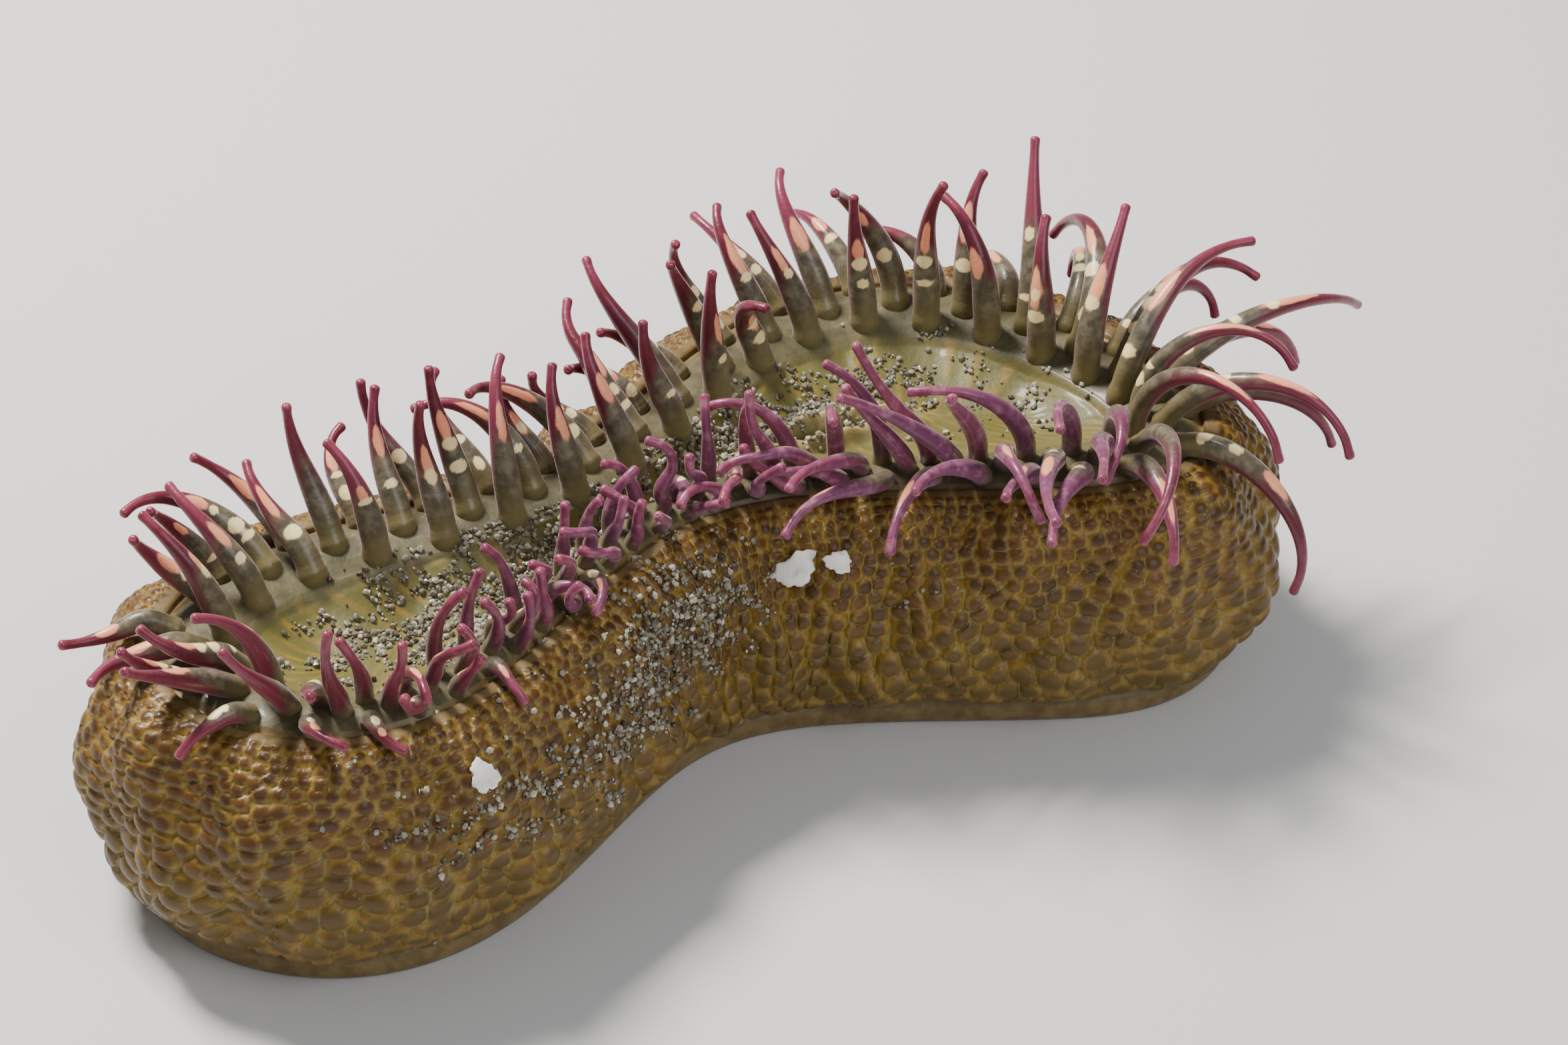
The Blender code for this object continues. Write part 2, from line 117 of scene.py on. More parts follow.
def edge(theta):  # an ellipse's cosine and sine, on the bowed line and with the pinched width
    t = np.cos(theta)
    return onFloor(crown["halfLength"] * t, spineAt(t) + halfAt(t) * np.sin(theta))


def outward(theta):  # level direction square to the crown edge
    ahead = unit(edge(theta + wall["edgeNudge"]) - edge(theta - wall["edgeNudge"]))
    return np.stack([ahead[..., 1], -ahead[..., 0]], -1)


def bandAt(theta):  # width of the band that carries the feelers, as a share of its full width
    turn = (theta - wall["bandAt"] + math.pi) % (2 * math.pi) - math.pi
    return 1 - wall["bandDrop"] * np.exp(-((turn / wall["bandSpan"]) ** 4))


def narrowed(theta, out):  # a step outside the crown edge, less where the band is narrow
    return out - (1 - bandAt(theta)) * np.clip(out, 0, wall["marginOut"])


def ring(theta, out):  # points of the floor plan, also for a whole grid of steps
    return edge(theta) + outward(theta) * narrowed(theta, out)[..., None]


def spineLine(theta):  # where the dish and the foot close, for each angle
    t = wall["discSpine"] * np.cos(theta)
    return onFloor(crown["halfLength"] * t, spineAt(t))


def crownAxes(flat):  # along and across the crown, from the frame's origin
    c, s = math.cos(crown["turn"]), math.sin(crown["turn"])
    return c * flat[..., 0] + s * flat[..., 1], c * flat[..., 1] - s * flat[..., 0]


def evenAngle(station, out):  # angle for a fraction of the way round, measured along the edge
    fine = np.linspace(0, 2 * math.pi, wall["edgeSamples"])
    run = runAlong(ring(fine, out), placeValues(fine[:-1])[-1])
    whole = np.floor(station)
    return np.interp((station - whole) * run[-1], run, fine) + 2 * math.pi * whole


def outset(xy):  # how far outside the crown edge each point is, and the direction out there
    theta = np.linspace(0, 2 * math.pi, wall["edgeSteps"], endpoint=False)
    line = edge(theta)
    normal = outward(theta)
    away = xy[:, None] - line[None]
    near = np.argmin(np.sum(away**2, axis=2), axis=1)
    pick = np.arange(len(xy))
    out = np.sum(away[pick, near] * normal[near], axis=1)
    band = bandAt(theta)[near]
    return out + np.clip(out, 0, band * wall["marginOut"]) * (1 / band - 1), normal[near]


def wallPoint(turn):  # step and height, from the neck at -90 degrees to the lip at 90
    rising = turn > 0
    end = np.where(rising, wall["lipOut"], wall["neckOut"])
    tall = np.where(rising, wall["lipHeight"] - wall["wallHeight"],
                    wall["wallHeight"] - wall["footThick"] - wall["gap"])
    return (end + (wall["wallOut"] - end) * np.cos(turn) ** wall["full"],
            wall["wallHeight"] + tall * np.sin(turn))


def marginTop(out):  # height of the band: a flat parabola over its width
    middle = (wall["marginIn"] + wall["marginOut"]) / 2
    return wall["marginHeight"] - wall["marginRound"] * ((out - middle) / (wall["marginOut"] - middle)) ** 2


def bodyProfile():  # steps and heights over the band, down the wall and round the foot
    out = np.linspace(wall["marginIn"], wall["marginOut"], 7)
    top = np.stack([out, marginTop(out)], -1)
    side = np.stack(wallPoint(np.radians(np.linspace(86, -90, 13))), -1)
    foot = np.array([[wall["footOut"] + wall["footFlare"], wall["footThick"] / 2], [wall["footOut"], 0.0]])
    return np.concatenate([top, side, foot])


def placeValues(theta):  # each column of the table, straight from row to row and closed round
    table = np.array(places, float)
    angle = np.radians(table[:, 0])
    angle = np.concatenate([angle[-2:] - 2 * math.pi, angle, angle[:2] + 2 * math.pi])
    rows = np.concatenate([table[-2:], table, table[:2]])[:, 1:]
    turn = theta % (2 * math.pi)
    return [np.interp(turn, angle, column) for column in rows.T]


def thickness(v):  # share of the base radius: a slight neck, then an S-shaped taper
    neck = 1 - feeler["neckDip"] * np.exp(-((v / feeler["neckSpan"]) ** 2))
    share = ramp(v - feeler["taperFrom"], 1 - feeler["taperFrom"])
    return neck * (1 - feeler["taper"] * share * share * (3 - 2 * share))


# each feeler is a chain of links: its pitch is the lift less a droop that grows outwards,
# its heading is the yaw plus a sway, and a hook bends both late
def feelerPaths():
    rng = np.random.default_rng(feeler["seed"])
    row = np.repeat(np.arange(3), feeler["stations"])
    station = np.tile(np.arange(feeler["stations"]), 3)
    out = np.take(feeler["rowOut"], row)
    theta = evenAngle((station + 0.5 + 0.5 * row) / feeler["stations"], feeler["pitchOut"])
    length, lift, yaw, droop, hook, size = placeValues(theta)[:-1]
    count = len(row)

    def spread(name):
        return rng.uniform(-feeler[name], feeler[name], count)

    length = length * mm * np.take(feeler["rowLength"], row) * (1 + spread("lengthSpread"))
    lift = np.radians(lift + np.take(feeler["rowLift"], row) + spread("liftSpread"))
    yaw = np.radians(yaw + spread("yawSpread"))
    droop = np.radians(droop + spread("droopSpread"))
    hook = np.radians(hook * (1 + spread("hookSpread")))
    hookTurn = rng.uniform(0, 2 * math.pi, count)
    sway = spread("sway")
    foot = ring(theta, out)
    room = lengths(foot[:, None] - foot[None]) + np.eye(count)
    base = np.minimum(feeler["baseRadius"] * size * np.take(feeler["rowSize"], row),
                      room.min(axis=1) / 2 - feeler["rootRoom"] * wall["gap"])

    away = outward(theta)
    ahead = np.stack([-away[:, 1], away[:, 0]], -1)
    v = (np.arange(feeler["links"]) + 0.5)[None] / feeler["links"]
    late = ramp(v - feeler["hookFrom"], 1 - feeler["hookFrom"])
    bend = hook[:, None] * late ** feeler["hookLate"]
    pitch = lift[:, None] - droop[:, None] * v ** feeler["droopLate"] + bend * np.cos(hookTurn)[:, None]
    side = yaw[:, None] * ramp(v, feeler["yawBy"]) + sway[:, None] * np.sin(feeler["swayWaves"] * v) * v
    side += feeler["hookSide"] * bend * np.sin(hookTurn)[:, None]
    flat = away[:, None] * np.cos(side)[..., None] + ahead[:, None] * np.sin(side)[..., None]
    steps = np.concatenate([flat * np.cos(pitch)[..., None], np.sin(pitch)[..., None]], -1)
    steps *= (length / feeler["links"])[:, None, None]
    start = np.concatenate([foot, marginTop(out)[:, None]], -1)[:, None]
    points = np.concatenate([start, start + np.cumsum(steps, axis=1)], axis=1)
    return station, theta, base, settle(points, base)


def settle(points, base):  # moves the feelers clear of each other, the body and the floor
    count, knots = points.shape[:2]
    v = np.linspace(0, 1, knots)
    radius = np.maximum(base[:, None] * thickness(v)[None], feeler["tipRadius"])
    rest = np.diff(points, axis=1)
    link = lengths(rest)[..., None]
    owner = np.repeat(np.arange(count), knots)
    loose = np.tile(ramp(np.arange(knots) - 1, 2), count)[:, None]
    body = bodyProfile()
    flatRadius = radius.ravel()
    for turn in range(feeler["rounds"]):
        flat = points.reshape(-1, 3)
        if turn % feeler["nearEvery"] == 0:
            near = lengths(flat[:, None] - flat[None])
            reach = flatRadius[:, None] + flatRadius[None] + feeler["clearance"] + feeler["nearReach"]
            first, second = np.nonzero(np.triu((near < reach) & (owner[:, None] != owner[None])))
        apart = flat[first] - flat[second]
        span = lengths(apart)
        short = np.clip(flatRadius[first] + flatRadius[second] + feeler["clearance"] - span, 0, None)
        push = apart / span[:, None] * (0.5 * short)[:, None]
        move = np.zeros_like(flat)
        np.add.at(move, first, push)
        np.add.at(move, second, -push)
        move += offBody(flat, flatRadius, body)
        move[:, 2] += np.clip(flatRadius + feeler["clearance"] - flat[:, 2], 0, None)
        points = (flat + feeler["pushShare"] * move * loose).reshape(points.shape)
        steps = np.diff(points, axis=1)
        even = steps.copy()
        even[:, 1:-1] = (steps[:, :-2] + steps[:, 1:-1] + steps[:, 2:]) / 3
        steps = even + feeler["stiffness"] * rest
        steps *= link / lengths(steps)[..., None]
        points = np.concatenate([points[:, :1], points[:, :1] + np.cumsum(steps, axis=1)], axis=1)
    return points


def offBody(flat, radius, body):  # brings each point out to the body's surface plus its own radius
    step, away = outset(flat[:, :2])
    place = np.stack([step, flat[:, 2]], -1)
    start = body[:-1]
    run = np.diff(body, axis=0)
    long = np.sum(run**2, axis=1)
    share = np.clip(np.sum((place[:, None] - start[None]) * run[None], axis=2) / long, 0, 1)
    foot = start[None] + share[..., None] * run[None]
    gap = lengths(place[:, None] - foot)
    best = np.argmin(gap, axis=1)
    normal = np.stack([-run[:, 1], run[:, 0]], -1) / np.sqrt(long)[:, None]
    pick = np.arange(len(flat))
    signed = np.sum((place - foot[pick, best]) * normal[best], axis=1)
    needed = np.clip(radius + feeler["clearance"] - signed, 0, feeler["pushMost"])
    needed = needed * (gap[pick, best] < feeler["bodyReach"])
    needed = needed * (step > wall["marginIn"])
    level = away * (needed * normal[best, 0])[:, None]
    return np.concatenate([level, (needed * normal[best, 1])[:, None]], axis=1)


# meshes

def gridFaces(rows, columns, wrap=True):  # quads over a grid of points, rows by columns
    i = np.arange(rows - 1)[:, None] * columns
    j = np.arange(columns if wrap else columns - 1)[None]
    k = (j + 1) % columns
    return np.stack([i + j, i + k, i + columns + k, i + columns + j], -1).reshape(-1, 4)


def placed(name, data):
    made = bpy.data.objects.new(name, data)
    bpy.context.scene.collection.objects.link(made)
    return made


def addMesh(name, points, faces, material, uv=None, values=None, normals=None):
    mesh = bpy.data.meshes.new(name)
    mesh.vertices.add(len(points))
    mesh.vertices.foreach_set("co", np.asarray(points, np.float32).ravel())
    sizes = np.array([len(face) for face in faces])
    loops = np.concatenate(list(faces))
    mesh.loops.add(len(loops))
    mesh.loops.foreach_set("vertex_index", loops.astype(np.int32))
    mesh.polygons.add(len(sizes))
    mesh.polygons.foreach_set("loop_start", np.concatenate([[0], np.cumsum(sizes)[:-1]]).astype(np.int32))
    mesh.polygons.foreach_set("loop_total", sizes.astype(np.int32))
    mesh.update(calc_edges=True)
    if uv is not None:
        layer = mesh.uv_layers.new(name="OFBake")
        layer.data.foreach_set("uv", np.asarray(uv, np.float32).ravel())
    for label, value in (values or {}).items():
        data = mesh.attributes.new(label, "FLOAT", "POINT")
        data.data.foreach_set("value", np.asarray(value, np.float32).ravel())
    mesh.shade_smooth()
    if normals is not None:
        mesh.normals_split_custom_set_from_vertices(np.asarray(normals, np.float32))
    mesh.materials.append(material)
    made = placed(name, mesh)
    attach(made, "root")
    return made


# materials

def newMaterial(name):
    made = bpy.data.materials.new(name)
    made.use_nodes = True
    return made, made.node_tree


def node(tree, kind, **settings):  # a setting is an input's value or the node's own property
    made = tree.nodes.new(kind)
    for key, value in settings.items():
        if key in made.inputs:
            made.inputs[key].default_value = value
        else:
            setattr(made, key, value)
    return made


def attribute(tree, name):
    return node(tree, "ShaderNodeAttribute", attribute_name=name).outputs["Fac"]


def objectNoise(tree, scale, detail=3.0):  # noise on Object coordinates
    where = node(tree, "ShaderNodeTexCoord").outputs["Object"]
    made = node(tree, "ShaderNodeTexNoise", Scale=scale, Detail=detail, Roughness=0.55)
    tree.links.new(where, made.inputs["Vector"])
    return made.outputs["Fac"]


# the next six functions take sockets; a socket's id_data is the node tree it belongs to

def between(value, low, high):  # 0 below low, 1 above high, smooth in between
    made = node(value.id_data, "ShaderNodeMapRange", interpolation_type="SMOOTHSTEP")
    made.inputs["From Min"].default_value = low
    made.inputs["From Max"].default_value = high
    value.id_data.links.new(value, made.inputs["Value"])
    return made.outputs["Result"]


def scaled(value, factor, added=0.0):
    made = node(value.id_data, "ShaderNodeMath", operation="MULTIPLY_ADD")
    value.id_data.links.new(value, made.inputs[0])
    made.inputs[1].default_value = factor
    made.inputs[2].default_value = added
    return made.outputs[0]


def combine(operation, a, b):
    made = node(a.id_data, "ShaderNodeMath", operation=operation)
    a.id_data.links.new(a, made.inputs[0])
    a.id_data.links.new(b, made.inputs[1])
    return made.outputs[0]


def times(a, b):
    return combine("MULTIPLY", a, b)


def plus(a, b):
    return combine("ADD", a, b)


def blend(amount, first, second):  # colours may be tuples or sockets
    tree = amount.id_data
    made = node(tree, "ShaderNodeMix", data_type="RGBA")
    sockets = [socket for socket in made.inputs if socket.type == "RGBA"]
    for socket, colour in zip(sockets, (first, second)):
        if isinstance(colour, tuple):
            socket.default_value = (*colour, 1)
        else:
            tree.links.new(colour, socket)
    tree.links.new(amount, made.inputs[0])
    return [socket for socket in made.outputs if socket.type == "RGBA"][0]


def srgb(red, green, blue):  # a colour as a paint program gives it, 0 to 255
    value = np.array([red, green, blue]) / 255
    return tuple(np.where(value <= 0.04045, value / 12.92, ((value + 0.055) / 1.055) ** 2.4).tolist())


wet = {"IOR": 1.38, "Coat Roughness": 0.08, "Coat IOR": 1.35, "Subsurface Scale": 0.001}


def finished(made, colour, height, look):  # a wet surface of this colour, with fine relief
    tree = made.node_tree
    inputs = tree.nodes["Principled BSDF"].inputs
    tree.links.new(colour, inputs["Base Color"])
    values = {"Roughness": look["roughness"], "Coat Weight": look["coat"],
              "Subsurface Weight": look["scatter"], "Subsurface Radius": look["scatterBy"]}
    for label, value in {**wet, **values}.items():
        inputs[label].default_value = value
    relief = node(tree, "ShaderNodeBump", Strength=look["relief"], Distance=look["reliefTall"])
    tree.links.new(height, relief.inputs["Height"])
    tree.links.new(relief.outputs["Normal"], inputs["Normal"])
    return made


print("paths")
station, theta, base, paths = feelerPaths()

# feelers

tube = {"sides": 20, "rings": 60, "groups": 3, "sink": 1.0 * mm, "thin": 0.43 * mm,
        "rootFlare": 0.22, "rootSpan": 0.7 * mm, "tipFlare": 0.1, "tipSpan": 0.5 * mm,
        "rippleTall": 0.012, "ripplePitch": 0.55 * mm, "rootBack": 0.4 * mm, "rootWide": 1.1,
        # the knob at the tip: angles of its rings, and the pore, as shares of its radius
        "capTurn": (25, 50, 70), "capTall": 0.7, "poreRise": (0.66, 0.52), "poreWide": (0.2, 0.09),
        # the front of the crown in degrees, where spots are fewer and tips violet
        "frontFrom": 225, "frontTo": 345,
        "spotChance": (0.3, 0.6, 0.45), "spotHalf": (0.3, 0.8), "spotWide": (26, 54),
        "salmonChance": 0.85, "salmonHalf": (0.07, 0.17), "salmonWide": (26, 50)}
feelerLook = {"olive": srgb(120, 112, 90), "shade": srgb(80, 74, 60), "root": srgb(112, 102, 66),
              "back": srgb(84, 40, 38), "cream": srgb(244, 224, 166), "salmon": srgb(238, 158, 120),
              "plum": srgb(94, 28, 42), "violet": srgb(110, 58, 90), "rose": srgb(138, 58, 80),
              # "edge" is the colour of a painted highlight: light glowing through the front feelers'
              # translucent edges
              "edge": srgb(170, 118, 142), "roughness": 0.36, "coat": 0.38, "scatter": 0.34,
              "scatterBy": (1.8, 0.9, 0.7), "relief": 0.25, "reliefTall": 0.2 * mm,
              "sheen": {"Sheen Weight": 0.28, "Sheen Roughness": 0.35, "Sheen Tint": (0.9, 0.6, 0.75, 1)}}


def feelerMaterial():
    made, tree = newMaterial("feelerFlesh")
    along = attribute(tree, "along")
    oral = attribute(tree, "oral")
    front = attribute(tree, "front")
    mottle = objectNoise(tree, 900, 4)
    patch = objectNoise(tree, 260, 2)
    colour = blend(between(mottle, 0.35, 0.7), feelerLook["shade"], feelerLook["olive"])
    colour = blend(between(along, 0.3, 0.0), colour, feelerLook["root"])
    behind = times(between(oral, 0.3, -0.5), between(along, 0.05, 0.4))
    colour = blend(behind, colour, feelerLook["back"])
    # the plum colour starts low on the outer side and high on the mouth side
    edgeAt = plus(plus(along, scaled(oral, -0.22)), scaled(patch, 0.36, -0.18))
    edgeAt = plus(edgeAt, scaled(front, 0.06))
    plum = blend(front, feelerLook["plum"], feelerLook["violet"])
    plum = blend(between(attribute(tree, "own"), 0.3, 1.5), plum, feelerLook["rose"])
    plum = blend(times(between(along, 0.6, 1.0), between(mottle, 0.2, 0.8)), plum, feelerLook["rose"])
    # painted highlight: pale patches placed by noise on the front feelers stand for light glowing through
    # their edges
    pale = times(front, between(mottle, 0.45, 0.75))
    plum = blend(scaled(pale, 0.7), plum, feelerLook["edge"])
    colour = blend(between(edgeAt, 0.2, 0.48), colour, plum)
    # the noise breaks up the edges of the spots
    broken = scaled(mottle, 0.9, -0.45)
    for spot in ("salmon", "cream"):
        shown = between(plus(attribute(tree, spot), broken), 0.25, 0.85)
        colour = blend(shown, colour, feelerLook[spot])
    for label, value in feelerLook["sheen"].items():
        tree.nodes["Principled BSDF"].inputs[label].default_value = value
    return finished(made, colour, objectNoise(tree, 2400, 3), feelerLook)


def smoothPaths(paths, count):  # cubic curves through each feeler's points, with their directions
    first = 2 * paths[:, :1] - paths[:, 1:2]
    last = 2 * paths[:, -1:] - paths[:, -2:-1]
    knots = np.concatenate([first, paths, last], axis=1)
    t = np.linspace(0, 1, count) * (paths.shape[1] - 1)
    i = np.minimum(t.astype(int), paths.shape[1] - 2)
    f = (t - i)[None, :, None]
    a, b, c, d = (knots[:, i + k] for k in range(4))
    point = 0.5 * (2 * b + (c - a) * f + (2 * a - 5 * b + 4 * c - d) * f**2 + (3 * b - a - 3 * c + d) * f**3)
    return point, unit(np.gradient(point, axis=1))


def makeFeelers(material):  # tubes: a path's point plus the radius times the cosine and sine of the turn
    rng = np.random.default_rng(feeler["seed"] + 5)
    count = len(base)
    rings, sides = tube["rings"], tube["sides"]
    line, ahead = smoothPaths(paths, rings)
    v = np.linspace(0, 1, rings)
    length = np.sum(lengths(np.diff(line, axis=1)), axis=1)
    radius = np.maximum(base[:, None] * thickness(v)[None], tube["thin"])
    run = v[None] * length[:, None]
    # a flared root, a slightly flared tip, and fine rings that fade towards the tip
    radius = radius * (1 + tube["rootFlare"] * np.exp(-((run / tube["rootSpan"]) ** 2)))
    left = length[:, None] - run
    radius = radius * (1 + tube["tipFlare"] * np.exp(-((left / tube["tipSpan"]) ** 2)))
    ripple = np.sin(run / tube["ripplePitch"] * 2 * math.pi + rng.uniform(0, 6, (count, 1)))
    radius = radius * (1 + tube["rippleTall"] * ripple * np.exp(-v[None] * 2))

    # the root goes down into the band, and the tip is a small round knob with a pore
    down = np.array([0, 0, -tube["sink"]])
    root = line[:, :1] + down - tube["rootBack"] * ahead[:, :1]
    tip = line[:, -1:]
    aim = ahead[:, -1:]
    knob = radius[:, -1:]
    capTurn = np.radians(tube["capTurn"])
    capRise = np.append(tube["capTall"] * np.sin(capTurn), tube["poreRise"])
    capWide = np.append(np.cos(capTurn), tube["poreWide"])
    line = np.concatenate([root, line, tip + aim * (capRise[None, :, None] * knob[..., None])], axis=1)
    ahead = np.concatenate([ahead[:, :1], ahead, np.repeat(aim, len(capRise), axis=1)], axis=1)
    radius = np.concatenate([radius[:, :1] * tube["rootWide"], radius, knob * capWide[None]], axis=1)
    v = np.concatenate([[0], v, np.ones(len(capRise))])
    total = len(v)

    # the mouth side: inward at the base, carried along the path without twisting
    away = outward(theta)
    side = np.concatenate([-away, np.full((count, 1), 0.35)], axis=1)
    facing = []
    for k in range(total):
        side = unit(side - np.sum(side * ahead[:, k], axis=1, keepdims=True) * ahead[:, k])
        facing.append(side)
    facing = np.stack(facing, axis=1)
    across = np.cross(ahead, facing)
    turn = np.linspace(0, 2 * math.pi, sides, endpoint=False)
    points = (line[:, :, None] + radius[:, :, None, None]
              * (np.cos(turn)[:, None] * facing[:, :, None] + np.sin(turn)[:, None] * across[:, :, None]))

    # spots along the mouth side: cream ones, and a long salmon one next to the tip
    turned = np.degrees(theta) % 360
    front = ramp(turned - tube["frontFrom"], 30) * ramp(tube["frontTo"] - turned, 20)
    wrap = (turn + math.pi) % (2 * math.pi) - math.pi
    grid = np.broadcast_to(v[None, :, None], (count, total, sides))

    def spot(at, half, wide, shown):  # soft-edged oval on the feeler's skin
        reach = (np.abs((grid - at[:, None, None]) / half[:, None, None]) ** 1.6
                 + (wrap[None, None] / wide[:, None, None]) ** 2)
        return shown[:, None, None] * ramp(1.3 - reach, 0.7)

    cream = np.zeros((count, total, sides))
    for k, chance in enumerate(tube["spotChance"]):
        at = rng.uniform(0.14, 0.22, count) + k * rng.uniform(0.12, 0.17, count)
        half = rng.uniform(*tube["spotHalf"], count) * mm / length
        wide = np.radians(rng.uniform(*tube["spotWide"], count))
        shown = rng.uniform(0, 1, count) < chance * (1 - 0.6 * front)
        cream = np.maximum(cream, spot(at, half, wide, shown))
    at = rng.uniform(0.5, 0.64, count)
    half = rng.uniform(*tube["salmonHalf"], count)
    wide = np.radians(rng.uniform(*tube["salmonWide"], count))
    salmon = spot(at, half, wide, rng.uniform(0, 1, count) < tube["salmonChance"] - 0.35 * front)

    own = rng.uniform(0, 1, count)
    values = {"along": grid, "oral": np.cos(turn)[None, None], "own": own[:, None, None],
              "front": front[:, None, None], "cream": cream, "salmon": salmon}
    values = {label: np.broadcast_to(value, grid.shape) for label, value in values.items()}
    made = []
    for group in range(tube["groups"]):
        pick = np.nonzero(station * tube["groups"] // feeler["stations"] == group)[0]
        faces, uv = feelerFaces(len(pick), total, sides, turn)
        made.append(addMesh(f"feelers_{group + 1}", points[pick].reshape(-1, 3), faces, material,
                            uv, {label: value[pick] for label, value in values.items()}))
    return made


# each feeler's cell of the UV square: what its skin fills, and the size and places of its two ends
cell = {"fill": 0.94, "from": 0.03, "end": 0.012, "tipAt": (0.97, 0.97), "rootAt": (0.97, 0.9)}


def feelerFaces(many, total, sides, turn):  # closed tubes, with their UV coordinates
    block = total * sides
    body = gridFaces(total, sides)
    first = (np.arange(many) * block)[:, None]
    bodies = (body[None] + first[..., None]).reshape(-1, 4)
    # each end closes with one face on its own ring
    ends = block - sides + np.arange(sides)[None] + first
    starts = np.arange(sides)[::-1][None] + first
    columns = math.ceil(math.sqrt(many * 0.5))
    lines = math.ceil(many / columns)
    corner = np.stack([(np.arange(many) % columns) / columns, (np.arange(many) // columns) / lines], -1)
    # the last face of a ring ends at the far side of the cell, not back at its start
    right = np.tile(np.array([0, 1, 1, 0]), (len(body), 1))
    acrossCell = body % sides
    acrossCell = np.where((acrossCell == 0) & (right == 1), sides, acrossCell) / sides
    upCell = body // sides / (total - 1)
    bodyUv = np.stack([acrossCell * cell["fill"], cell["from"] + upCell * cell["fill"]], -1)
    bodyUv = (bodyUv / (columns, lines))[None] + corner[:, None, None]
    circle = np.stack([np.cos(turn), np.sin(turn)], -1) * cell["end"] / columns
    endUv = circle[None] + (corner + np.divide(cell["tipAt"], (columns, lines)))[:, None]
    startUv = circle[::-1][None] + (corner + np.divide(cell["rootAt"], (columns, lines)))[:, None]
    uv = np.concatenate([part.reshape(-1, 2) for part in (bodyUv, endUv, startUv)])
    return list(bodies) + list(ends) + list(starts), uv


# body skin

skin = {"around": 1260, "wallStep": 0.24 * mm, "marginStep": 0.3 * mm, "discRows": 56,
        "bandOut": 5.3 * mm, "bandRows": 14, "footTall": 4.5 * mm, "lengthOut": 8 * mm,
        "folds": ((0.5 * mm, 17, 0.35), (0.4 * mm, 29, -0.22)), "sink": 0.25 * mm}
# warts in staggered rows down from the lip; sizes are shares of their spacing, which grows downwards
warts = {"top": 1.05 * mm, "low": 2.3 * mm, "fullAt": 17 * mm, "tall": 0.44, "wide": 0.64, "rim": 0.16,
         "start": 0.25 * mm, "rowStep": 0.88, "reach": 2.1, "shift": 0.2, "size": (0.86, 1.14), "seed": 23}


def evenSkinAngles():  # even steps along the edge, the same for both sides, so the two sides pair up
    fine = np.linspace(0, 2 * math.pi, 4001)
    step = lengths(np.diff(edge(fine), axis=0))
    step = (step + step[::-1]) / 2
    run = np.concatenate([[0], np.cumsum(step)])
    return np.interp(np.arange(skin["around"]) / skin["around"] * run[-1], run, fine)


def sideProfile():  # steps and heights from the foot's lower edge up the wall, over the lip and the band
    footTurn = np.radians(np.linspace(-90, 80, 9))
    half = wall["footThick"] / 2
    foot = np.stack([wall["footOut"] + wall["footFlare"] * np.cos(footTurn),
                     half * (1 + np.sin(footTurn))], -1)
    side = np.stack(wallPoint(np.radians(np.linspace(-84, 84, 80))), -1)
    lip = np.array([[wall["lipOut"] + 0.25 * mm, wall["lipHeight"]],
                    [wall["lipOut"] - 0.4 * mm, wall["lipHeight"] - 0.1 * mm],
                    [wall["marginOut"] + 0.2 * mm, wall["lipHeight"] - 0.6 * mm],
                    [wall["marginOut"] - 0.2 * mm, wall["lipHeight"] - 0.5 * mm]])
    band = np.array([[skin["bandOut"], marginTop(skin["bandOut"]) - 0.1 * mm]])
    rough = np.concatenate([foot, side, lip, band])
    run = runAlong(rough)
    lipAt = run[len(foot) + len(side) - 1]
    low = np.linspace(0, skin["footTall"], 10)[:-1]
    middle = np.arange(skin["footTall"], lipAt, skin["wallStep"])
    high = np.arange(lipAt, run[-1], skin["marginStep"])
    stops = np.concatenate([low, middle, high, run[-1:]])
    return np.interp(stops, run, rough[:, 0]), np.interp(stops, run, rough[:, 1]), stops, lipAt


def wartSpacing(fromLip):  # grows in a straight line down the wall
    return warts["top"] + (warts["low"] - warts["top"]) * ramp(fromLip, warts["fullAt"])


# each row's warts stand one spacing apart, moved a little at random; every point keeps the
# two nearest
def wartField(around, down, length):  # distance to the nearest wart and to the next one, in wart widths
    rng = np.random.default_rng(warts["seed"])
    at = warts["start"]
    nearest = np.full(around.shape, 9.0)
    second = np.full(around.shape, 9.0)
    seed = np.zeros(around.shape)
    k = 0
    while at < down.max() - 1 * mm:
        pitch = wartSpacing(at)
        many = int(round(length / pitch))
        shiftU = rng.uniform(-warts["shift"], warts["shift"], many)
        shiftS = rng.uniform(-warts["shift"], warts["shift"], many)
        size = rng.uniform(*warts["size"], many)
        own = rng.uniform(0, 1, many)
        hit = np.abs(down - at) < warts["reach"] * pitch
        u = around[hit] / length * many - 0.5 * (k % 2)
        s = (down[hit] - at) / pitch
        bestOne = nearest[hit]
        bestTwo = second[hit]
        bestSeed = seed[hit]
        whole = np.floor(u).astype(int)
        for step in (-1, 0, 1, 2):
            index = (whole + step) % many
            gap = np.hypot(u - (whole + step) - shiftU[index], s - shiftS[index]) / size[index]
            closer = gap < bestOne
            bestTwo = np.where(closer, bestOne, np.minimum(bestTwo, gap))
            bestSeed = np.where(closer, own[index], bestSeed)
            bestOne = np.where(closer, gap, bestOne)
        nearest[hit] = bestOne
        second[hit] = bestTwo
        seed[hit] = bestSeed
        at += warts["rowStep"] * pitch
        k += 1
    return nearest, second, seed


def gridNormals(points):  # from the two directions of a grid that closes round
    level = np.roll(points, -1, axis=1) - np.roll(points, 1, axis=1)
    up = np.gradient(points, axis=0)
    normal = np.cross(level, up)
    return normal / np.maximum(lengths(normal)[..., None], 1e-12)


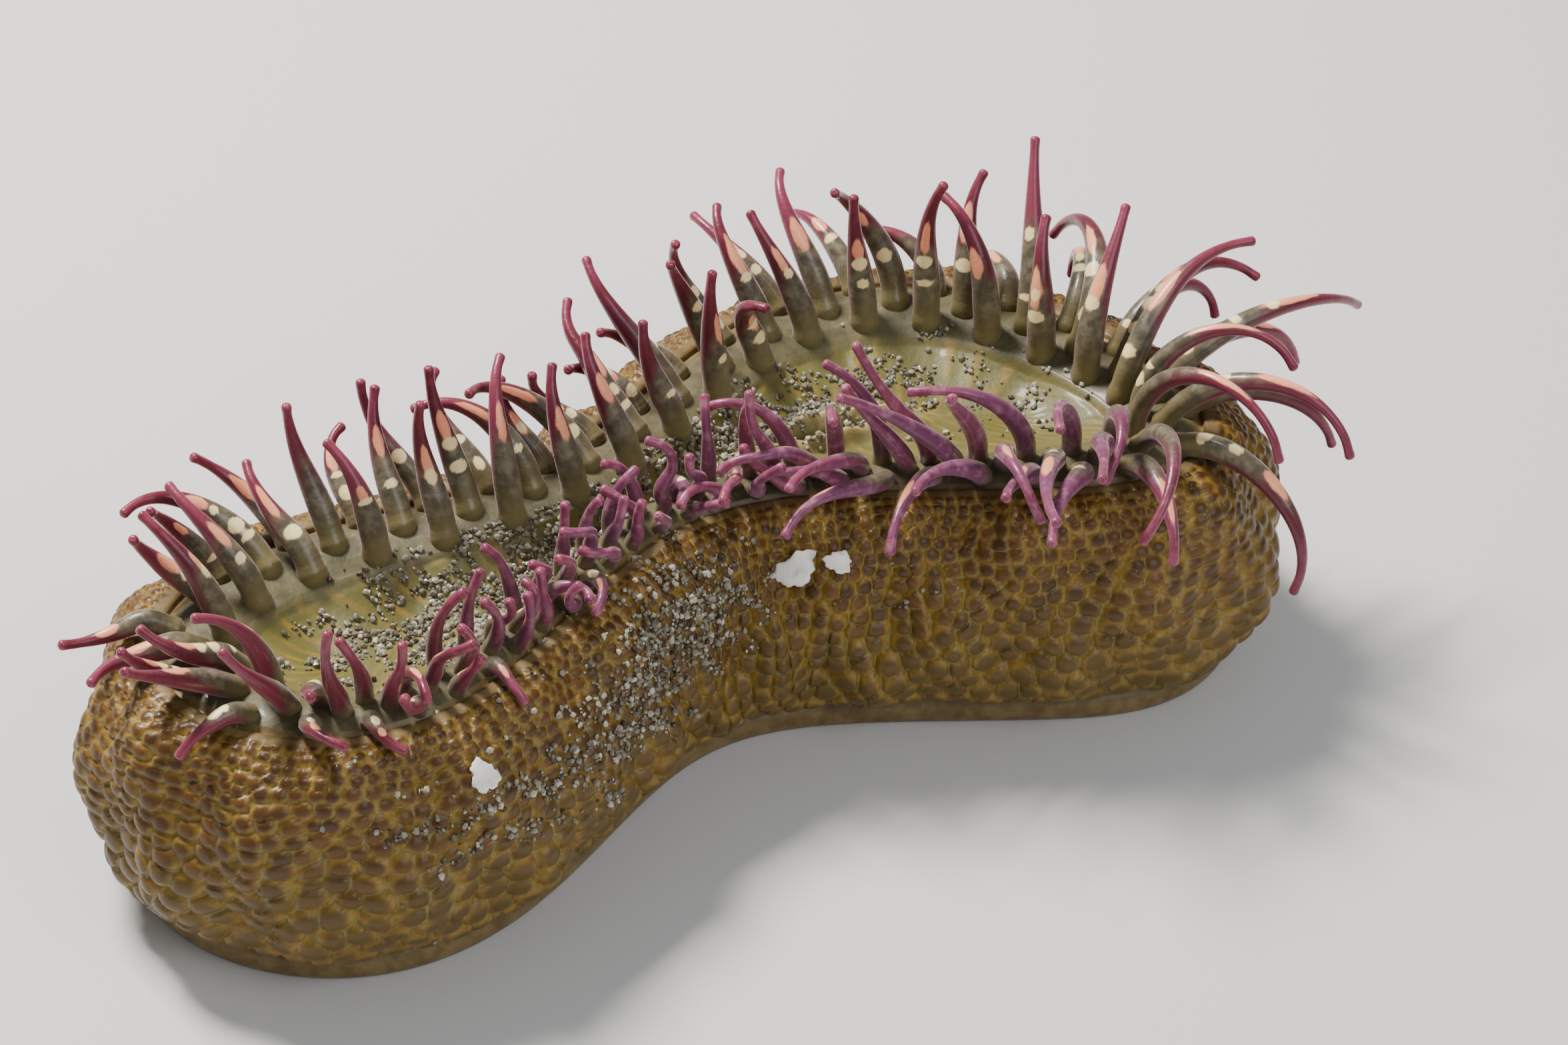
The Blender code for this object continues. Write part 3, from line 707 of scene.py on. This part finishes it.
columnLook = {"centre": (srgb(66, 40, 8), srgb(96, 62, 14)), "lowCentre": srgb(88, 68, 24),
              "ring": (srgb(110, 82, 26), srgb(144, 114, 46)),
              "crease": (srgb(144, 126, 64), srgb(126, 122, 76)),
              "plain": (srgb(104, 82, 46), srgb(128, 108, 68)), "roughness": 0.48, "coat": 0.22,
              "scatter": 0.1, "scatterBy": (1.4, 0.8, 0.4), "relief": 0.3, "reliefTall": 0.15 * mm}


def columnMaterial():  # each wart has a dark middle, an ochre ring and a pale line round it
    made, tree = newMaterial("columnFlesh")
    low = attribute(tree, "low")
    mottle = between(objectNoise(tree, 700, 4), 0.3, 0.7)
    centre = blend(attribute(tree, "wartOwn"), *columnLook["centre"])
    centre = blend(between(low, 0.3, 0.9), centre, columnLook["lowCentre"])
    ringTint = blend(mottle, *columnLook["ring"])
    colour = blend(between(attribute(tree, "wart"), 0.25, 0.52), centre, ringTint)
    crease = blend(between(low, 0.1, 0.6), *columnLook["crease"])
    colour = blend(between(attribute(tree, "wartRim"), 0.11, 0.03), colour, crease)
    plain = blend(mottle, *columnLook["plain"])
    colour = blend(attribute(tree, "wartOn"), plain, colour)
    return finished(made, colour, objectNoise(tree, 2600, 3), columnLook)


discLook = {"khaki": (srgb(92, 86, 38), srgb(110, 104, 58)), "lines": srgb(142, 112, 44),
            "band": (srgb(78, 72, 48), srgb(100, 92, 64)),
            "lip": srgb(166, 150, 96), "slit": srgb(58, 42, 20),
            "roughness": 0.5, "coat": 0.16, "scatter": 0.12, "scatterBy": (1.4, 1.0, 0.4),
            "relief": 0.3, "reliefTall": 0.2 * mm}


def discMaterial():
    made, tree = newMaterial("discFlesh")
    mottle = objectNoise(tree, 800, 4)
    colour = blend(between(objectNoise(tree, 90, 3), 0.35, 0.65), *discLook["khaki"])
    lines = times(between(attribute(tree, "ray"), 0.0, 0.9), between(mottle, 0.25, 0.75))
    colour = blend(lines, colour, discLook["lines"])
    grey = blend(between(mottle, 0.3, 0.7), *discLook["band"])
    colour = blend(between(attribute(tree, "inward"), 0.14, 0.0), colour, grey)
    for part in ("lip", "slit"):
        colour = blend(attribute(tree, part), colour, discLook[part])
    return finished(made, colour, objectNoise(tree, 1800, 3), discLook)


def rowsUv(rows, columns):  # corner coordinates of a grid cut open, filling the square
    faces = gridFaces(rows, columns, wrap=False)
    return np.stack([(faces % columns) / (columns - 1), (faces // columns) / (rows - 1)], -1)


# the side profile carried round the crown edge, pushed out by a half-round dome for each wart
# and by the folds
def makeColumn(material):
    angle = evenSkinAngles()
    out, tall, down, lipAt = sideProfile()
    rows, columns = len(out), len(angle)
    run = runAlong(ring(np.append(angle, angle[0]), skin["lengthOut"]))
    length = run[-1]
    around = np.broadcast_to(run[:-1], (rows, columns))
    fromLip = (lipAt - down)[:, None] + np.zeros(columns)
    onWall = ramp(fromLip + 0.3 * mm, 0.5 * mm) * ramp(down[:, None] - skin["footTall"], 2 * mm)
    # folds of the wall, as two crossed waves: how tall, how many, and their slant
    wave = sum(rise * np.sin(around / length * 2 * math.pi * many + fromLip / mm * slant)
               for rise, many, slant in skin["folds"])
    nearest, second, own = wartField(around, np.maximum(fromLip, -2 * mm), length)
    dome = np.sqrt(np.clip(1 - (nearest / warts["wide"]) ** 2, 0, 1))
    crease = ramp(second - nearest, warts["rim"])
    height = warts["tall"] * wartSpacing(fromLip) * dome * (0.4 + 0.6 * crease)
    height = (height - skin["sink"]) * onWall
    height = height + wave * ramp(down[:, None] - 5 * mm, 4 * mm) * ramp(fromLip, 3 * mm)
    slope = np.gradient(np.stack([out, tall], -1), axis=0)
    square = unit(np.stack([slope[:, 1], -slope[:, 0]], -1))
    outGrid = out[:, None] + height * square[:, :1]
    tallGrid = tall[:, None] + height * square[:, 1:]
    flat = ring(angle, outGrid)
    points = np.concatenate([flat, np.maximum(tallGrid, 0)[..., None]], -1)

    # the flat foot closes on the spine line, where the two sides share their points
    shares = np.array([0.0, 0.4, 0.75])
    spine = spineLine(angle)
    under = spine[None] + shares[:, None, None] * (flat[:1] - spine[None])
    under = np.concatenate([under, np.zeros((len(shares), columns, 1))], -1)
    points = np.concatenate([under, points])
    normals = gridNormals(points)
    normals[: len(shares) + 1] = (0, 0, -1)
    values = {"wart": nearest, "wartRim": second - nearest, "wartOwn": own, "wartOn": onWall,
              "low": ramp(fromLip, 22 * mm)}
    values = {label: np.concatenate([np.zeros((len(shares), columns)), value])
              for label, value in values.items()}
    rows = len(points)
    half = columns // 2
    made = []
    for label, pick in (("back", np.arange(0, half + 1)), ("front", np.arange(half, columns + 1) % columns)):
        faces = gridFaces(rows, len(pick), wrap=False)
        uv = rowsUv(rows, len(pick)).reshape(-1, 2)
        made.append(addMesh("columnSkin_" + label, points[:, pick].reshape(-1, 3), faces, material,
                            uv, {key: value[:, pick] for key, value in values.items()},
                            normals[:, pick].reshape(-1, 3)))
    return made, points, normals, len(shares)


mouth = {"at": 0.42, "half": 0.16, "wide": 1.7 * mm, "lipTall": 1.3 * mm, "slitDeep": 1.5 * mm,
         "lipWide": 0.42, "slitWide": 0.4 * mm, "folds": 14, "foldTall": 0.16,
         "rays": 84, "rayTall": 0.06 * mm, "lumpTall": 0.35 * mm}


def discHeight(share):  # a dish that rises with the square of the share, from spine to band
    return wall["marginHeight"] - wall["marginRound"] - 0.3 * mm - wall["discDip"] * (1 - share**2)


def softNoise(x, y, size, seed):  # five crossed waves of about one length, mostly between -1 and 1
    rng = np.random.default_rng(seed)
    total = np.zeros_like(x)
    for way in rng.uniform(0, 2 * math.pi, 5):
        total += np.sin((x * math.cos(way) + y * math.sin(way)) * 2 * math.pi / size * rng.uniform(0.7, 1.4)
                        + rng.uniform(0, 6))
    return total / 2.2


# rings from the band in to the spine line; lips, slit, rays and lumps are added to the height
def makeDisc(material):
    angle = evenSkinAngles()
    columns = len(angle)
    # the band from its outer side inwards, then the dish from its edge to the spine line
    out = np.linspace(skin["bandOut"], wall["marginIn"], skin["bandRows"])
    bandFlat = ring(angle, out[:, None])
    bandTall = marginTop(out) - 0.1 * mm
    share = 1 - np.linspace(0, 1, skin["discRows"] + 1)[1:] ** 1.15
    spine = spineLine(angle)
    flat = spine[None] + share[:, None, None] * (bandFlat[-1] - spine)[None]
    start = bandTall[-1]
    tall = start + (discHeight(share) - start) * ramp(1 - share, 0.12)
    flat = np.concatenate([bandFlat, flat])
    share = np.concatenate([np.ones(len(out)), share])
    tall = np.concatenate([bandTall, tall])[:, None] + np.zeros(columns)
    along, across = crownAxes(flat)
    along = along + crown["footCentre"][0]
    offSpine = across + crown["footCentre"][1] - spineAt(along / crown["halfLength"])
    reach = (along - crown["halfLength"] * mouth["at"]) / (crown["halfLength"] * mouth["half"])
    oval = np.hypot(reach, offSpine / mouth["wide"])
    turn = np.arctan2(offSpine / mouth["wide"], reach)
    lip = np.exp(-(((oval - 1.0) / mouth["lipWide"]) ** 2))
    slit = np.exp(-((offSpine / mouth["slitWide"]) ** 2)) * np.clip(1.15 - oval, 0, 1)

    def noise(size, seed):
        return softNoise(flat[..., 0], flat[..., 1], size, seed)

    station = np.arange(columns)[None] / columns + 0.006 * noise(22 * mm, 3)
    rays = np.cos(2 * math.pi * mouth["rays"] * station)
    rays = rays * (0.6 + 0.4 * noise(9 * mm, 4))
    plain = ramp((1 - share)[:, None], 0.2) * ramp(oval - 1.2, 2)
    folds = 1 + mouth["foldTall"] * np.cos(mouth["folds"] * turn)
    tall = tall + lip * mouth["lipTall"] * folds - slit * mouth["slitDeep"]
    tall = tall + mouth["rayTall"] * rays * plain * (0.4 + 0.6 * share[:, None])
    tall = tall + mouth["lumpTall"] * noise(12 * mm, 5) * plain
    points = np.concatenate([flat, tall[..., None]], -1)
    normals = gridNormals(points)
    normals[-1] = (0, 0, 1)
    rows = len(share)
    # the last row's two sides share one line of points
    index = np.arange(rows * columns)
    far = np.arange(columns // 2 + 1, columns)
    last = (rows - 1) * columns
    index[last + far] = last + columns - far
    faces = index[gridFaces(rows, columns)]
    span = flat.reshape(-1, 2)
    low = span.min(0)
    uv = ((span - low) / (span.max(0) - low).max() * 0.98 + 0.01)[faces.ravel()]
    values = {"ray": rays, "inward": (1 - share)[:, None] + np.zeros_like(oval), "lip": lip, "slit": slit}
    made = addMesh("discSkin", points.reshape(-1, 3), faces, material,
                   uv, values, normals.reshape(-1, 3))
    return made, points, normals


# sand and shell bits that stick to the animal

litter = {"grains": 6500, "small": 0.13 * mm, "large": 0.40 * mm, "seed": 31, "clump": 5 * mm,
          # on the disc: along and across the crown from its own centre, reach and share of the grains
          "discPatches": ((20, 10, 14, 5, 1.0), (34, 2, 8, 5, 0.6), (3, 6, 10, 6, 0.9), (-26, -6, 15, 9, 1.1),
                          (-12, 0, 10, 6, 0.9)),
          # on the column: angle on the crown edge in degrees, height, reach in degrees and in mm
          "wallPatches": ((262, 20, 16, 5, 1.3), (244, 16, 13, 6, 0.9), (298, 18, 9, 3, 0.3),
                          (225, 18, 12, 5, 0.6), (120, 12, 25, 6, 0.25), (10, 10, 20, 5, 0.2))}
sandLook = {"grey": srgb(84, 80, 70), "tan": srgb(138, 132, 116), "pale": srgb(196, 190, 174),
            "brown": srgb(64, 44, 30), "stain": srgb(120, 104, 78), "roughness": 0.42, "coat": 0.4,
            "scatter": 0.0, "scatterBy": (1, 1, 1), "relief": 0.3, "reliefTall": 0.05 * mm}


def sandMaterial():
    made, tree = newMaterial("sandGrains")
    own = attribute(tree, "own")
    mottle = objectNoise(tree, 5000, 2)
    colour = blend(between(own, 0.1, 0.55), sandLook["grey"], sandLook["tan"])
    colour = blend(between(own, 0.7, 0.95), colour, sandLook["pale"])
    colour = blend(between(own, 0.12, 0.06), colour, sandLook["brown"])
    colour = blend(scaled(mottle, 0.4, -0.05), colour, sandLook["stain"])
    return finished(made, colour, objectNoise(tree, 9000, 2), sandLook)


def icosahedron():  # twelve points of three golden rectangles, on a sphere of radius one
    g = (1 + math.sqrt(5)) / 2
    points = np.array([(-1, g, 0), (1, g, 0), (-1, -g, 0), (1, -g, 0), (0, -1, g), (0, 1, g),
                       (0, -1, -g), (0, 1, -g), (g, 0, -1), (g, 0, 1), (-g, 0, -1), (-g, 0, 1)])
    faces = np.array([(0, 11, 5), (0, 5, 1), (0, 1, 7), (0, 7, 10), (0, 10, 11), (1, 5, 9), (5, 11, 4),
                      (11, 10, 2), (10, 7, 6), (7, 1, 8), (3, 9, 4), (3, 4, 2), (3, 2, 6), (3, 6, 8),
                      (3, 8, 9), (4, 9, 5), (2, 4, 11), (6, 2, 10), (8, 6, 7), (9, 8, 1)])
    return points / np.linalg.norm(points[0]), faces


def patchWeight(a, b, patches):  # sum of soft ovals
    total = np.zeros(np.broadcast(a, b).shape)
    for middleA, middleB, reachA, reachB, share in patches:
        total += share * np.exp(-(((a - middleA) / reachA) ** 2) - ((b - middleB) / reachB) ** 2)
    return total


def clumped(weight, x, y):  # breaks a soft patch up into clumps, closer together where it is dense
    noise = softNoise(x, y, litter["clump"], 41) + 0.7 * softNoise(x, y, 0.4 * litter["clump"], 42)
    return weight * np.clip((noise + 2.4 * weight - 1.5) / 0.5, 0.006, 1)


def litterPlaces():  # points and outward directions on the skins, more of them where the patches are
    flat = discPoints[..., :2]
    onDisc = patchWeight(*np.divide(crownAxes(flat), mm), litter["discPatches"])
    onDisc = clumped(onDisc, flat[..., 0], flat[..., 1])
    onDisc[: skin["bandRows"] - 3] = 0
    theta = np.degrees(evenSkinAngles())[None]
    tall = columnPoints[..., 2] / mm
    onWall = patchWeight(theta, tall, litter["wallPatches"])
    onWall = 0.7 * clumped(onWall, columnPoints[..., 0], columnPoints[..., 1] + columnPoints[..., 2])
    onWall[: footRows + 12] = 0
    return (np.concatenate([discPoints.reshape(-1, 3), columnPoints.reshape(-1, 3)]),
            np.concatenate([discNormals.reshape(-1, 3), columnNormals.reshape(-1, 3)]),
            np.concatenate([cellAreas(discPoints).ravel() * onDisc.ravel(),
                            cellAreas(columnPoints).ravel() * onWall.ravel()]))


def cellAreas(points):  # cross product of the grid's two directions at each point
    along = np.roll(points, -1, axis=1) - points
    up = np.gradient(points, axis=0)
    return lengths(np.cross(along, up))


def makeSand(material):  # icosahedra stretched and turned at random, sunk partly into the skin
    rng = np.random.default_rng(litter["seed"])
    points, normals, weight = litterPlaces()
    many = litter["grains"]
    pick = rng.choice(len(points), many, replace=False, p=weight / weight.sum())
    size = litter["small"] + (litter["large"] - litter["small"]) * rng.uniform(0, 1, many) ** 2
    form, faces = icosahedron()
    shape = form[None] * rng.uniform(0.72, 1.2, (many, len(form), 1))
    shape = shape * rng.uniform(0.65, 1.15, (many, 1, 3)) * size[:, None, None]
    turn = np.linalg.qr(rng.normal(size=(many, 3, 3)))[0]
    turn[:, :, 0] *= np.sign(np.linalg.det(turn))[:, None]
    shape = np.einsum("nij,nkj->nki", turn, shape)
    middle = points[pick] + normals[pick] * (size * 0.45)[:, None]
    allPoints = middle[:, None] + shape
    allFaces = faces[None] + (np.arange(many) * len(form))[:, None, None]
    own = np.repeat(rng.uniform(0, 1, many), len(form))
    made = addMesh("sandGrains", allPoints.reshape(-1, 3), allFaces.reshape(-1, 3), material,
                   values={"own": own})
    made.data.shade_flat()


flake = {"thick": 0.3 * mm, "cup": 0.16, "lift": 0.75 * mm,
         # angle on the crown edge in degrees, height, half sizes and turn of each flake
         "places": ((283, 20.5, 2.2, 1.4, 140), (289, 21.6, 1.25, 1.0, 20), (226, 21.5, 1.5, 1.2, 70))}


flakeLook = {"white": (srgb(226, 222, 210), srgb(244, 242, 236)), "worn": srgb(196, 188, 182),
             "roughness": 0.3, "coat": 0.5, "scatter": 0.08, "scatterBy": (1, 1, 1),
             "relief": 0.2, "reliefTall": 0.04 * mm}


def flakeMaterial():
    made, tree = newMaterial("shellFlakes")
    where = node(tree, "ShaderNodeTexCoord").outputs["Object"]
    bands = node(tree, "ShaderNodeTexWave", Scale=1600, Distortion=2.0, Detail=2.0)
    tree.links.new(where, bands.inputs["Vector"])
    colour = blend(between(bands.outputs["Fac"], 0.2, 0.8), *flakeLook["white"])
    colour = blend(between(objectNoise(tree, 700, 3), 0.55, 0.7), colour, flakeLook["worn"])
    return finished(made, colour, bands.outputs["Fac"], flakeLook)


def makeFlakes(material):  # broken, slightly cupped plates: a wavy outline in rings, closed at its middle
    theta = evenSkinAngles()
    turn = np.linspace(0, 2 * math.pi, 40, endpoint=False)
    share = np.array([0.0, 0.35, 0.7, 0.93, 1.0, 0.93, 0.7, 0.35, 0.0])
    side = np.array([1, 1, 1, 0.8, 0, -0.8, -1, -1, -1]) * flake["thick"] / 2
    points = []
    for k, (angle, tall, long, wide, way) in enumerate(flake["places"]):
        column = np.argmin(np.abs(np.degrees(theta) - angle))
        line = columnPoints[footRows + 8 :, column]
        at = footRows + 8 + np.argmin(np.abs(line[:, 2] - tall * mm))
        beside = (column + np.arange(-8, 9)) % len(theta)
        out = unit(columnNormals[at - 6 : at + 7, beside].mean((0, 1)))
        middle = columnPoints[at - 6 : at + 7, beside].mean((0, 1))
        level = unit(np.cross(out, (0, 0, 1)))
        up = np.cross(level, out)
        first = math.cos(math.radians(way)) * level + math.sin(math.radians(way)) * up
        second = np.cross(out, first)
        jag = 1 + 0.13 * np.sin(3 * turn + k) + 0.08 * np.sin(7 * turn + 2 * k) + 0.05 * np.sin(13 * turn)
        a = share[:, None] * (jag * np.cos(turn))[None] * long * mm
        b = share[:, None] * (jag * np.sin(turn))[None] * wide * mm
        c = side[:, None] + flake["lift"] - flake["cup"] * (a**2 + b**2) / (1.5 * mm)
        points.append(middle + a[..., None] * first + b[..., None] * second + c[..., None] * out)
    points = np.array(points)
    rows, columns = len(share), len(turn)
    inner = np.arange(1, rows - 1)
    body = gridFaces(len(inner), columns)
    grid = points[:, 1:-1].reshape(len(points), -1, 3)
    poles = points[:, [0, -1], 0]
    each = grid.shape[1] + 2
    allPoints = np.concatenate([grid, poles], axis=1).reshape(-1, 3)
    j = np.arange(columns)
    k = (j + 1) % columns
    top = np.stack([np.full(columns, each - 2), j, k], -1)[:, ::-1]
    last = (len(inner) - 1) * columns
    low = np.stack([np.full(columns, each - 1), last + j, last + k], -1)
    faces = []
    for piece in range(len(points)):
        for part in (body, top, low):
            faces += list(part[:, ::-1] + piece * each)
    addMesh("shellFlakes", allPoints, faces, material)


print("feelers")
feelerSkins = makeFeelers(feelerMaterial())
print("column")
columnSkins, columnPoints, columnNormals, footRows = makeColumn(columnMaterial())
print("disc")
discSkin, discPoints, discNormals = makeDisc(discMaterial())

print("sand and shell bits")
makeSand(sandMaterial())
makeFlakes(flakeMaterial())

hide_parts("pedal_disc", "column", "collar")
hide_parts("oral_disc", "mouth_lips")
names = [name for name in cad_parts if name.startswith("tentacles_")]
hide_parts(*names)


# stage, light and camera

def makeStage():
    made, tree = newMaterial("floor")
    inputs = tree.nodes["Principled BSDF"].inputs
    inputs["Base Color"].default_value = (0.62, 0.61, 0.59, 1)
    inputs["Roughness"].default_value = 0.8
    mesh = bpy.data.meshes.new("floor")
    wide = 3.0
    corners = [(-wide, -wide, 0), (wide, -wide, 0), (wide, wide, 0), (-wide, wide, 0)]
    mesh.from_pydata(corners, [], [(0, 1, 2, 3)])
    mesh.materials.append(made)
    placed("floor", mesh)


def addLight(name, place, size, power, colour):
    data = bpy.data.lights.new(name, "AREA")
    data.size = size
    data.energy = power
    data.color = colour
    made = placed(name, data)
    made.location = place
    target = placed(name + "Aim", None)
    target.location = (0, 0, 0.02)
    track = made.constraints.new("TRACK_TO")
    track.target = target
    track.track_axis = "TRACK_NEGATIVE_Z"
    track.up_axis = "UP_Y"


view = {"look": (8.3 * mm, -3.8 * mm, 24 * mm), "elevation": 38, "away": 0.42, "across": 0.14,
        "sensor": 36}


def makeCamera():  # the lens shows the width across at the distance away
    data = bpy.data.cameras.new("camera")
    data.sensor_width = view["sensor"]
    data.lens = view["sensor"] * view["away"] / view["across"]
    data.clip_start = 0.01
    camera = placed("camera", data)
    rise = math.radians(view["elevation"])
    look = view["look"]
    camera.location = (look[0], look[1] - view["away"] * math.cos(rise),
                       look[2] + view["away"] * math.sin(rise))
    camera.rotation_euler = (math.pi / 2 - rise, 0, 0)
    bpy.context.scene.camera = camera


def makeWorld():
    world = bpy.data.worlds.new("studio")
    world.use_nodes = True
    background = world.node_tree.nodes["Background"]
    background.inputs["Color"].default_value = (0.9, 0.95, 1.0, 1)
    background.inputs["Strength"].default_value = 0.3
    bpy.context.scene.world = world


print("stage")
makeStage()
makeWorld()
addLight("key", (-0.22, 0.2, 0.5), 0.14, 8, (1.0, 0.97, 0.92))
addLight("fill", (0.3, -0.35, 0.4), 0.4, 1.8, (0.93, 0.96, 1.0))
makeCamera()
